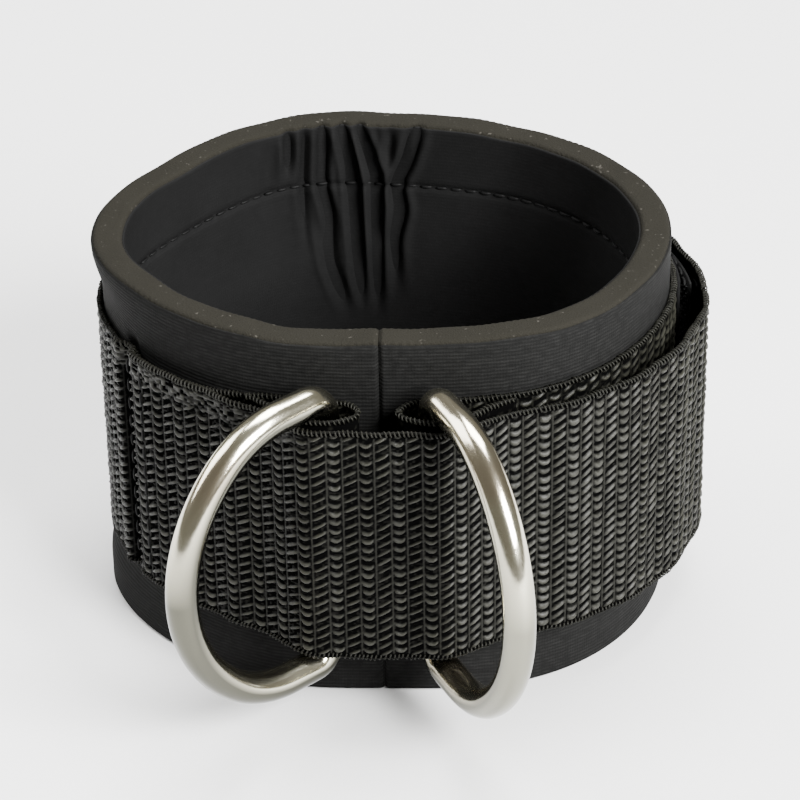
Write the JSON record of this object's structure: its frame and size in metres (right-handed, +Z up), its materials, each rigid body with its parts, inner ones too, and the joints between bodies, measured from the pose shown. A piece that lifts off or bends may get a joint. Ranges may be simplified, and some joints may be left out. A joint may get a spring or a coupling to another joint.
{
  "type": "padded ankle cuff",
  "caption": "Padded neoprene ankle cuff for cable exercise, with a webbing strap closed by hook and loop across D-rings.",
  "frame": {"origin": "on the cuff's axis, at the height of the pad's bottom edge", "axes": "+Z up along the cuff's axis; the pad's seam and the D-rings face -Y; the strap is anchored on the -X side and closes on the +X side"},
  "size_m": [0.1173, 0.13, 0.077],
  "materials": {
    "foam": "raw cut closed-cell neoprene edge, matt olive brown",
    "jersey": "fine black knitted nylon jersey, matt",
    "lining": "black knitted lining, wrinkled, matt",
    "webbing": "heavy black woven polypropylene webbing, ribbed, slightly shiny yarns",
    "hook_tape": "black hook tape",
    "loop_tape": "black napped loop tape",
    "nickel": "polished nickel plate on steel wire",
    "thread": "black bonded sewing thread"
  },
  "bodies": {
    "cuff": {"pad_foam": "foam", "outer_jersey": "jersey", "inner_jersey": "lining", "base_webbing": "webbing", "left_keeper_loop": "webbing", "right_keeper_loop": "webbing", "closing_strap": "webbing", "loop_patch": "loop_tape", "upper_seam_stitching": "thread", "lower_seam_stitching": "thread", "left_keeper_stitching": "thread", "right_keeper_stitching": "thread", "strap_anchor_stitching": "thread", "loop_patch_stitching": "thread"},
    "left_ring": {"left_ring": "nickel"},
    "right_ring": {"right_ring": "nickel"},
    "strap_tail": {"strap_tail": "webbing", "hook_patch": "hook_tape", "hook_patch_stitching": "thread"}
  },
  "joints": [
    {"name": "left_ring_hinge", "type": "hinge", "parent": "cuff", "child": "left_ring", "pos_m": [-0.01008, -0.04872, 0.0398], "axis": [0, 0, 1], "range_deg": [-30, 57]},
    {"name": "right_ring_hinge", "type": "hinge", "parent": "cuff", "child": "right_ring", "pos_m": [0.00995, -0.04885, 0.0398], "axis": [0, 0, 1], "range_deg": [-37, 50]},
    {"name": "strap_peel", "type": "hinge", "parent": "cuff", "child": "strap_tail", "pos_m": [0.0605, 0.00016, 0.0396], "axis": [0, 0, -1], "range_deg": [0, 80]}
  ]
}
